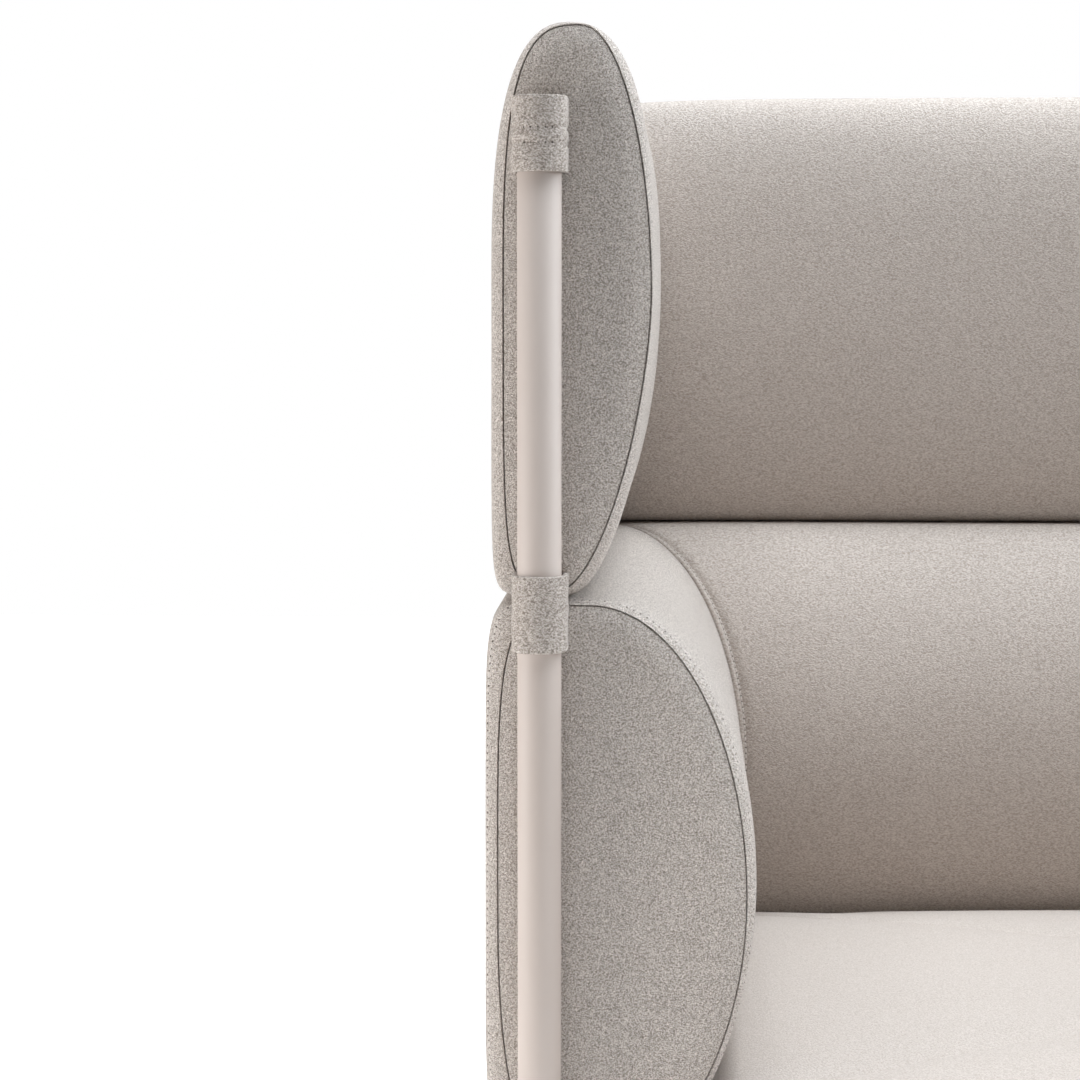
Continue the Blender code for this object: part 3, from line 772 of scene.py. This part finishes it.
for level, seam in seams.items():
    ways = ways_out(seam)
    middles = middle_line(seam)
    half_turned = SEAM_LIP * HALF_ROUND
    edge = SEAM_GAP + SEAM_LIP
    profile = (
        (SEAM_GAP, PLATE_BACK), (SEAM_GAP, SEAM_LIP), (SEAM_GAP + half_turned, half_turned), (edge, 0),
    )
    for word, side in SIDES.items():
        name = f"arm_{level}_{word}_end_panel"
        bm = bmesh.new()
        rings = []
        for depth, back in profile:
            rings.append([arm_point(side, p, w, depth, FRONT_FACE + back, 0) for p, w in zip(seam, ways)])
        for depth in PLATE_DEPTHS:
            front = FRONT_FACE - PLATE_SWELL * (1 - (1 - depth / PLATE_ROLL) ** 2)
            inset = [p + (m - p).normalized() * (edge + depth) for p, m in zip(seam, middles)]
            rings.append([arm_point(side, p, w, 0, front, 0) for p, w in zip(inset, ways)])
        for share in PLATE_SHARES:
            nearer = [p.lerp(m, share) for p, m in zip(inset, middles)]
            rings.append([arm_point(side, p, w, 0, front, 0) for p, w in zip(nearer, ways)])
        skin(bm, rings)
        plate = finish_piece(name + "_felt", bm, [felt], [name])


# Topstitching. A row of small stitches in matching thread runs beside the seams of the lower panels and of
# the seat, 5.2 mm to a stitch, and holds the seam allowance flat. Between stitches dark needle holes show,
# drawn as small plugs of painted shade.

STITCH_PITCH = 0.0052
STITCH_SHARES = (-0.42, -0.30, 0.0, 0.30, 0.42)
STITCH_LIFTS = (-0.0006, -0.0001, 0, -0.0001, -0.0006)
CORNER_STITCH_LIFT = 0.0004
STITCH_RADII = (0.0003, 0.00052, 0.00060, 0.00052, 0.0003)
STITCH_SIDES = 6
HOLE_RADIUS = 0.0012
CORNER_HOLE_RADIUS = 0.0016
HOLE_SIDES = 8
HOLE_OPEN = 0.75  # share of its radius to which the felt leaves a hole open
HOLE_VARIES = 0.6
MARK_DEPTH = 0.0004  # of the plug of shadow that draws a hole
MARK_LIFT = 0.00012
MARK_TAPER = 0.3
THREAD_COLOUR = "#DED6CF"
THREAD_DARK_COLOUR = "#B8ACA3"
# painted shade of the needle holes' pits, dark, and a little lighter in patches
HOLE_SHADE_COLOUR = "#332A26"
HOLE_SHADE_PALE_COLOUR = "#564B45"
THREAD_TWIST = 0.0007

# Sewing thread: twisted polyester, a shade lighter than the felt, with a slight lustre on its strands.
sewing_thread, shader = new_finish("sewing_thread", {"Roughness": 0.6, "Sheen Weight": 0.2})
place = add_node(sewing_thread, "ShaderNodeTexCoord", {})
twist = add_node(
    sewing_thread, "ShaderNodeTexNoise", {"Vector": place.outputs["Object"], "Scale": 1 / THREAD_TWIST}
)
tone = add_node(
    sewing_thread, "ShaderNodeMix",
    {0: twist.outputs["Fac"], 6: linear(THREAD_DARK_COLOUR), 7: linear(THREAD_COLOUR)}, data_type="RGBA",
)
sewing_thread.node_tree.links.new(tone.outputs[2], shader.inputs["Base Color"])

# Needle hole shade: painted shade of the pit that a needle leaves in felt, matt and a little uneven.
needle_hole_shade, shader = new_finish("needle_hole_shade", {"Roughness": 1.0, "Specular IOR Level": 0.0})
place = add_node(needle_hole_shade, "ShaderNodeTexCoord", {})
shade = add_node(
    needle_hole_shade, "ShaderNodeTexNoise", {"Vector": place.outputs["Object"], "Scale": 1 / THREAD_TWIST}
)
tone = add_node(
    needle_hole_shade, "ShaderNodeMix",
    {0: shade.outputs["Fac"], 6: linear(HOLE_SHADE_COLOUR), 7: linear(HOLE_SHADE_PALE_COLOUR)}, data_type="RGBA",
)
needle_hole_shade.node_tree.links.new(tone.outputs[2], shader.inputs["Base Color"])


def stitch_row(bm, points, ways, hole, lift=0):
    """Stitches along a row of points that lies on felt, whose way out is given at each point."""
    pairs = list(zip(points, points[1:] + points[:1], ways, ways[1:] + ways[:1]))
    total = sum((there - here).length for here, there, _, _ in pairs)
    count = round(total / STITCH_PITCH)
    pitch = total / count
    walked = 0
    made = 0
    for here, there, way, next_way in pairs:
        run = (there - here).length
        while made < count and (made + 0.5) * pitch <= walked + run:
            share = ((made + 0.5) * pitch - walked) / run
            middle = here.lerp(there, share)
            out = way.lerp(next_way, share).normalized()
            along = (there - here).normalized()
            path = []
            for reach, height in zip(STITCH_SHARES, STITCH_LIFTS):
                path.append(middle + along * pitch * reach + out * (height + lift))
            strand(bm, path, [out] * len(path), STITCH_RADII, STITCH_SIDES)
            needle_mark(bm, middle + along * pitch / 2, along, out, hole)
            made += 1
        walked += run


def needle_mark(bm, middle, along, out, hole):
    """A plug of painted shade that draws the pit of a needle hole, more or less closed by the felt."""
    across = out.cross(along)
    radius = hole * (HOLE_OPEN + HOLE_VARIES * noise.noise(middle / STITCH_PITCH))
    ring = []
    for step in range(HOLE_SIDES):
        turn = 2 * math.pi * step / HOLE_SIDES
        ring.append(middle + radius * (along * math.cos(turn) + across * math.sin(turn)))
    low = [point - out * MARK_DEPTH for point in ring]
    high = [point.lerp(middle, MARK_TAPER) + out * MARK_LIFT for point in ring]
    before = len(bm.faces)
    skin(bm, [low, high])
    bm.faces.ensure_lookup_table()
    for index in range(before, len(bm.faces)):
        bm.faces[index].material_index = 1


ways = ways_out(outlines["lower"])
section, slopes = flared(seams["lower"], outlines["lower"], STITCH_ROW)
for word, side in SIDES.items():
    points = []
    outs = []
    for here, way, slope in zip(section, ways, slopes):
        points.append(arm_point(side, here, way, STITCH_SINK, FRONT_FACE + STITCH_ROW, 0))
        outs.append(Vector((-side * way.x, -slope, way.y)).normalized())
    bm = bmesh.new()
    stitch_row(bm, points, outs, HOLE_RADIUS)
    finish_piece(f"arm_lower_{word}_topstitching", bm, [sewing_thread, needle_hole_shade])

    points = []
    for p, w, free in zip(outlines["lower"], ways, freedom(ways, "lower")):
        depth = back_drawn_in(CORNER_STITCH_ROW, "lower") * free
        x = side * (SPINE_X - p.x + w.x * depth - CORNER_STITCH_ROW)
        points.append(back_point(p, w, depth, x, CORNER_STITCH_ROW / MITRE_STATIONS[-1]))
    outs = [Vector((0, -way.x, way.y)) for way in ways]
    bm = bmesh.new()
    stitch_row(bm, points, outs, CORNER_HOLE_RADIUS, CORNER_STITCH_LIFT)
    finish_piece(f"back_lower_{word}_topstitching", bm, [sewing_thread, needle_hole_shade])


# Pockets and loops. Thick felt bands hold the panels to the posts. A pocket sits on the top of each post,
# sewn shut above the tube by two rows of stitches, and a loop at mid-height is open at both ends.

BAND_FELT = 0.0037
BAND_RADIUS = TUBE_RADIUS + FIT_GAP + BAND_FELT  # from the post's axis to the band's outer face
BAND_ROUND = 0.0008
BAND_ROWS = 52
BAND_TURN_STEPS = 40
BAND_TAIL_STEPS = 5
POCKET_ROWS = (0.0214, 0.0314)  # from the pocket's top down to each row of stitches
PINCH = 0.0009
PINCH_WIDTH = 0.0020
BAND_PUCKER = 0.0007
BAND_PUCKER_SPAN = 0.010
POCKET_STITCHES = 5  # that show as marks across the front
POCKET_MARK = 0.0011
POCKET_TRIM = 0.0018  # cut shorter than the model's
LID_OVERLAP = 0.0002  # of a pocket's lid with its wall
LID_RINGS = ((1, 0.0016), (0.9, 0.0008), (0.6, 0.0004))  # shares of the lid's plan, depths below the rim
TAIL_GAP = 0.0002  # between the front bands' tails and the end panels
REAR_POCKET_REACH = 0.008  # how far the rear bands go in beside the rolls of the back
REAR_LOOP_REACH = 0.012


def band_path(place, away, tail):
    """A band's outer face from above: (point, way out) from the panel round the post and back."""
    middle = place.xy
    right = Vector((1, 0))
    inward = Vector((0, -away * tail))
    path = []
    for step in range(BAND_TAIL_STEPS):
        path.append((middle + BAND_RADIUS * right + inward * (1 - step / BAND_TAIL_STEPS), right))
    for step in range(BAND_TURN_STEPS + 1):
        turn = math.pi * step / BAND_TURN_STEPS
        way = Vector((math.cos(turn), away * math.sin(turn)))
        path.append((middle + BAND_RADIUS * way, way))
    for step in range(1, BAND_TAIL_STEPS + 1):
        path.append((middle - BAND_RADIUS * right + inward * step / BAND_TAIL_STEPS, -right))
    return path


def band_outline(low, high):
    """Points round a band's cut edge, as (depth below its outer face, height)."""
    half_turned = BAND_ROUND * HALF_ROUND
    face = []
    for row in range(BAND_ROWS + 1):
        face.append((0, low + BAND_ROUND + (high - low - 2 * BAND_ROUND) * row / BAND_ROWS))
    return face + [
        (half_turned, high - half_turned), (BAND_ROUND, high),
        (BAND_FELT - BAND_ROUND, high), (BAND_FELT - half_turned, high - half_turned),
        (BAND_FELT, high - BAND_ROUND), (BAND_FELT, low + BAND_ROUND),
        (BAND_FELT - half_turned, low + half_turned), (BAND_FELT - BAND_ROUND, low),
        (BAND_ROUND, low), (half_turned, low + half_turned),
    ]


def band_dent(spot, rows):
    """How deep a band's outer face is pinched by its rows of stitches and puckered between them."""
    pull = sum(PINCH * math.exp(-(((spot.z - row) / PINCH_WIDTH) ** 2)) for row in rows)
    return pull + BAND_PUCKER * noise.noise(spot / BAND_PUCKER_SPAN)


def felt_band(name, corner, tail, pocket):
    """A pocket or a loop round the post of a corner. Its two tails reach the panel."""
    away = CORNERS[corner]
    place = post_places[corner]
    low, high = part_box(name)
    rows = []
    if pocket:
        rows = [high.z - row for row in POCKET_ROWS]
        low.z += POCKET_TRIM
    bm = bmesh.new()
    rings = []
    for point, way in band_path(place, away, tail):
        ring = []
        for depth, height in band_outline(low.z, high.z):
            spot = Vector((point.x, point.y, height))
            dent = band_dent(spot, rows) if depth < BAND_FELT / 2 else 0
            ring.append(spot - Vector((way.x, way.y, 0)) * (depth + dent))
        rings.append(ring)
    skin(bm, rings)
    if pocket:
        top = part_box("post_" + corner)[1].z + FIT_GAP
        plan = []
        for point, way in band_path(place, away, tail):
            plan.append(point - way * (BAND_FELT - LID_OVERLAP))
        rings = [[Vector((*point, top)) for point in plan]]
        for share, depth in LID_RINGS:
            rings.append([Vector((*place.xy.lerp(point, share), high.z - depth)) for point in plan])
        skin(bm, rings)
        for row in rows:
            points = []
            ways = []
            for step in range(POCKET_STITCHES + 2):
                turn = (step - (POCKET_STITCHES + 1) / 2) * STITCH_PITCH / BAND_RADIUS
                way = Vector((math.sin(turn), away * math.cos(turn), 0))
                spot = Vector((place.x, place.y, row)) + way * BAND_RADIUS
                points.append(spot - way * band_dent(spot, rows))
                ways.append(way)
            # each stitch shows only as the pit of its needle hole, drawn in painted shade
            for index in range(1, len(points) - 1):
                along = (points[index + 1] - points[index - 1]).normalized()
                needle_mark(bm, points[index], along, ways[index], POCKET_MARK)
    finish_piece(name + "_felt", bm, [band_felt, needle_hole_shade], [name])


for corner, place in post_places.items():
    pocket_tail = FRONT_FACE - place.y - TAIL_GAP
    loop_tail = pocket_tail
    if corner.startswith("rear"):
        pocket_tail = place.y - BACK_SPINE - UPPER["outer"] + REAR_POCKET_REACH
        loop_tail = place.y - BACK_SPINE - LOWER["outer"] + REAR_LOOP_REACH
    felt_band("post_pocket_" + corner, corner, pocket_tail, True)
    felt_band("post_loop_" + corner, corner, loop_tail, False)


# Seat. A plywood board carries foam in a felt cover. The crowned top rolls over its edge to a seam, sewn
# and topstitched to a flat border that goes down to the board.

SEAT_EDGE = 0.022
SEAT_CORNER = 0.030
SEAT_DRAW = 0.003
SEAT_CROWN = 0.012
SEAT_CROWN_KEPT = 0.96  # the model's crown is cut flat a little below its full height
SEAT_DOME = 0.6  # how full the crown is toward its edge
SEAT_CORNER_DROP = 0.0095  # how much lower the corners are held than the middles of the sides
SEAT_SIDE_RISE = 0.0102  # how far the middles of the sides are blown up above the model's edge
SEAT_FELT = 0.0022
SEAT_EDGE_STEPS = 12
SEAT_CORNER_STEPS = 10
SEAT_LONG_STEPS = 60
SEAT_SHORT_STEPS = 32
SEAT_CROWN_STEPS = 26
SEAT_HELD = 0.004  # above the seam, up to where the seam holds the felt
SEAT_CLOTH = {
    "quality": 6, "mass": 0.5, "tension_stiffness": 40, "compression_stiffness": 40, "bending_stiffness": 5,
    "use_pressure": True, "uniform_pressure_force": 0.2, "vertex_group_mass": "sewn",
}
SEAT_SWELL_FRAMES = 16
SEAT_GIVE = 0.25  # share of the felt's free swelling that the foam under it lets it make

seat_low, seat_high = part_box("seat_cover")
seat_half = (seat_high.x - seat_low.x) / 2
seat_deep = (seat_high.y - seat_low.y) / 2
seat_middle = (seat_high.y + seat_low.y) / 2
seat_rim = seat_high.z - SEAT_CROWN * SEAT_CROWN_KEPT
seat_seam = seat_rim - SEAT_EDGE


def seat_plan(depth):
    """The seat from above as (point, way out), moved in by a depth: round corners, sides drawn in."""
    plan = []
    for quarter, (x_side, y_side) in enumerate(((1, 1), (-1, 1), (-1, -1), (1, -1))):
        across = x_side * (seat_half - SEAT_CORNER)
        middle = Vector((across, y_side * (seat_deep - SEAT_CORNER) + seat_middle))
        for step in range(SEAT_CORNER_STEPS + 1):
            turn = math.pi / 2 * (quarter + step / SEAT_CORNER_STEPS)
            way = Vector((math.cos(turn), math.sin(turn)))
            plan.append((middle + way * (SEAT_CORNER - depth), way))
        last, way = plan[-1]
        lengthwise = quarter % 2 == 0
        steps = SEAT_LONG_STEPS if lengthwise else SEAT_SHORT_STEPS
        run = 2 * ((seat_half if lengthwise else seat_deep) - SEAT_CORNER)
        along = Vector((-way.y, way.x))
        for step in range(1, steps):
            share = step / steps
            plan.append((last + along * run * share - way * SEAT_DRAW * math.sin(math.pi * share), way))
    return plan


def seat_ring(depth, height, share=1.0):
    """The plan of the seat at a height, moved in by a depth and then shrunk to a share."""
    centre = Vector((0, seat_middle))
    return [Vector((*centre.lerp(point, share), height)) for point, _ in seat_plan(depth)]


def seat_rise(point):
    """How far the edge of the top is blown up at a point: most along the sides, least at the corners."""
    across = point.x / seat_half
    along = (point.y - seat_middle) / seat_deep
    return SEAT_SIDE_RISE - SEAT_CORNER_DROP * across**2 * along**2


def seat_top_rings():
    """The top of the seat, from its seam over its rolled edge to the middle of its crown."""
    roll = SEAT_EDGE - SEAM_LIP
    rings = [seat_ring(SEAM_DEPTH, seat_seam), seat_ring(SEAM_LIP, seat_seam)]
    for step in range(SEAT_EDGE_STEPS + 1):
        turn = math.pi / 2 * step / SEAT_EDGE_STEPS
        depth = SEAT_EDGE * (1 - math.cos(turn))
        ring = seat_ring(depth, seat_seam + SEAM_LIP)
        rings.append([p + Vector((0, 0, (roll + seat_rise(p)) * math.sin(turn))) for p in ring])
    for step in range(1, SEAT_CROWN_STEPS):
        ring = []
        for point in seat_ring(SEAT_EDGE, seat_rim, 1 - step / SEAT_CROWN_STEPS):
            across = point.x / (seat_half - SEAT_EDGE)
            along = (point.y - seat_middle) / (seat_deep - SEAT_EDGE)
            fullness = max(0, (1 - across**2) * (1 - along**2))
            ring.append(point + Vector((0, 0, seat_rise(point) + SEAT_CROWN * fullness**SEAT_DOME)))
        rings.append(ring)
    return rings


def swell(piece, held_below):
    """Blows the felt up a little from inside, held along its seam, and keeps the shape."""
    mesh = piece.data
    before = [v.co.copy() for v in mesh.vertices]
    group = piece.vertex_groups.new(name="sewn")
    group.add([v.index for v in mesh.vertices if v.co.z < held_below], 1.0, "REPLACE")
    cloth = piece.modifiers.new("swell", "CLOTH")
    for setting, value in SEAT_CLOTH.items():
        setattr(cloth.settings, setting, value)
    cloth.settings.effector_weights.gravity = 0
    cloth.point_cache.frame_start = 1
    cloth.point_cache.frame_end = SEAT_SWELL_FRAMES
    scene = bpy.context.scene
    for step in range(1, SEAT_SWELL_FRAMES + 1):
        scene.frame_set(step)
    blown = piece.evaluated_get(bpy.context.evaluated_depsgraph_get()).data
    after = [v.co.copy() for v in blown.vertices]
    piece.modifiers.remove(cloth)
    scene.frame_set(1)
    for vertex, old, new in zip(mesh.vertices, before, after):
        vertex.co = old.lerp(new, SEAT_GIVE)
    mesh.update()


bm = bmesh.new()
skin(bm, seat_top_rings())
seat_top = finish_piece("seat_top", bm, [smooth_felt], ["seat_cover", "seat_foam"])
swell(seat_top, seat_seam + SEAT_HELD)

bm = bmesh.new()
border_top = seat_seam - SEAM_GAP
half_turned = SEAM_LIP * HALF_ROUND
border = (
    (SEAT_FELT, seat_low.z), (0, seat_low.z), (0, border_top - SEAM_LIP),
    (half_turned, border_top - half_turned), (SEAM_LIP, border_top), (SEAT_FELT, border_top),
)
skin(bm, [seat_ring(depth, height) for depth, height in border], looped=True)
seat_border = finish_piece("seat_border", bm, [felt])

seat_turn = STITCH_ROW / SEAT_EDGE
seat_depth = SEAT_EDGE * (1 - math.cos(seat_turn))
points = []
outs = []
for point, way in seat_plan(seat_depth):
    points.append(Vector((*point, seat_seam + SEAM_LIP + SEAT_EDGE * math.sin(seat_turn))))
    outs.append(Vector((way.x * math.cos(seat_turn), way.y * math.cos(seat_turn), math.sin(seat_turn))))
bm = bmesh.new()
stitch_row(bm, points, outs, HOLE_RADIUS)
finish_piece("seat_topstitching", bm, [sewing_thread, needle_hole_shade])


# Studio. A sheet of white paper that keeps the shadow and is clear from below, a large soft lamp above with
# a small one beside it, one high on the right, and weaker ones low on the left, in front and at the floor.
# Each lamp has its place, what it points at, its width and height, its power in watts and its tint.

FLOOR_SIZE = 12.0
FLOOR_COLOUR = "#F4F3F2"
FLOOR_GLOW = 0.35  # under the sofa, where the paper keeps its shadow
GLOW_NEAR = 0.9  # out from the middle, where the glow starts to rise
GLOW_FAR = 1.9  # and where the paper is white
SKY_STRENGTH = 0.02
COOL = (0.91, 1.0, 1.08)
NEUTRAL = (1.0, 1.0, 1.0)
LAMPS = (
    ("key_above", (-0.1, -0.35, 4.4), (-0.1, 0, 0.6), 3.6, 2.8, 217, COOL),
    ("small_above", (0.3, 0.1, 3.6), (-0.3, 0, 0.6), 1.6, 1.2, 20, COOL),
    ("high_right", (2.2, 0.3, 2.4), (-0.6, -0.1, 0.8), 1.8, 2.2, 102, COOL),
    ("low_left", (-2.7, -0.8, 0.8), (-0.7, -0.3, 0.6), 1.6, 1.4, 45, NEUTRAL),
    ("low_front", (0.3, -1.0, 0.55), (0, 0.2, 0.5), 1.0, 0.3, 2.8, NEUTRAL),
    ("floor_bounce", (-0.75, -0.95, 0.03), (-0.68, -0.36, 0.5), 1.0, 0.5, 2.4, NEUTRAL),
)


def seeing_rays(owner):
    """1 for rays that show the background itself: seen directly, mirrored or through something clear."""
    path = add_node(owner, "ShaderNodeLightPath", {})
    mirrored = add_node(
        owner, "ShaderNodeMath", {0: path.outputs["Is Camera Ray"], 1: path.outputs["Is Glossy Ray"]},
        operation="MAXIMUM",
    )
    seen = add_node(
        owner, "ShaderNodeMath", {0: mirrored.outputs[0], 1: path.outputs["Is Transmission Ray"]},
        operation="MAXIMUM",
    )
    return seen.outputs[0]


mesh = bpy.data.meshes.new("floor")
half = FLOOR_SIZE / 2
mesh.from_pydata([(-half, -half, 0), (half, -half, 0), (half, half, 0), (-half, half, 0)], [], [(0, 1, 2, 3)])
floor = bpy.data.objects.new("floor", mesh)
bpy.context.scene.collection.objects.link(floor)
paper, shader = new_finish("white_paper", {"Roughness": 0.9, "Base Color": linear(FLOOR_COLOUR)})
place = add_node(paper, "ShaderNodeTexCoord", {})
away = add_node(paper, "ShaderNodeVectorMath", {0: place.outputs["Object"]}, operation="LENGTH")
fade = add_node(
    paper, "ShaderNodeMapRange",
    {"Value": away.outputs["Value"], "From Min": GLOW_NEAR, "From Max": GLOW_FAR, "To Min": FLOOR_GLOW,
     "To Max": 1.0},
)
glow = add_node(
    paper, "ShaderNodeMath", {0: seeing_rays(paper), 1: fade.outputs["Result"]}, operation="MULTIPLY"
)
shader.inputs["Emission Color"].default_value = (1, 1, 1, 1)
paper.node_tree.links.new(glow.outputs[0], shader.inputs["Emission Strength"])
face = add_node(paper, "ShaderNodeNewGeometry", {})
clear = add_node(paper, "ShaderNodeBsdfTransparent", {})
upper_side = add_node(
    paper, "ShaderNodeMixShader",
    {0: face.outputs["Backfacing"], 1: shader.outputs["BSDF"], 2: clear.outputs["BSDF"]},
)
surface = paper.node_tree.nodes["Material Output"].inputs["Surface"]
paper.node_tree.links.new(upper_side.outputs["Shader"], surface)
mesh.materials.append(paper)

world = bpy.data.worlds.new("studio")
bpy.context.scene.world = world
world.use_nodes = True
sky = world.node_tree.nodes["Background"]
strength = add_node(
    world, "ShaderNodeMapRange", {"Value": seeing_rays(world), "To Min": SKY_STRENGTH, "To Max": 1.0}
)
sky.inputs["Color"].default_value = (1, 1, 1, 1)
world.node_tree.links.new(strength.outputs["Result"], sky.inputs["Strength"])

for name, place, target, wide, high, power, tint in LAMPS:
    lamp = bpy.data.lights.new(name, "AREA")
    lamp.shape = "RECTANGLE"
    lamp.size = wide
    lamp.size_y = high
    lamp.energy = power
    lamp.color = tint
    holder = bpy.data.objects.new(name, lamp)
    holder.location = place
    holder.rotation_euler = (Vector(target) - Vector(place)).to_track_quat("-Z", "Y").to_euler()
    holder.visible_camera = False
    bpy.context.scene.collection.objects.link(holder)


# Camera, at the photograph's viewing angle: close in front of the left arm and level with the upper panels.
# It stands a little to the right of the arm and looks slightly down and to the left.

VIEW_ASIDE = 0.0972  # right of the arm's spine plane
VIEW_BACK = 1.76  # in front of the arm's front face
VIEW_ABOVE = 0.1971  # above the joint between the panels
VIEW_TURN = 3.183  # degrees to the left
VIEW_TILT = 5.074  # degrees down
LENS = 86.27  # millimetres, on the sensor below
SENSOR = 36

lens = bpy.data.cameras.new("camera")
lens.lens = LENS
lens.sensor_width = SENSOR
camera = bpy.data.objects.new("camera", lens)
camera.location = (-SPINE_X + VIEW_ASIDE, FRONT_FACE - VIEW_BACK, upper_base + VIEW_ABOVE)
camera.rotation_euler = (math.radians(90 - VIEW_TILT), 0, math.radians(VIEW_TURN))
bpy.context.scene.collection.objects.link(camera)
bpy.context.scene.camera = camera
bpy.context.scene.view_settings.view_transform = "Standard"
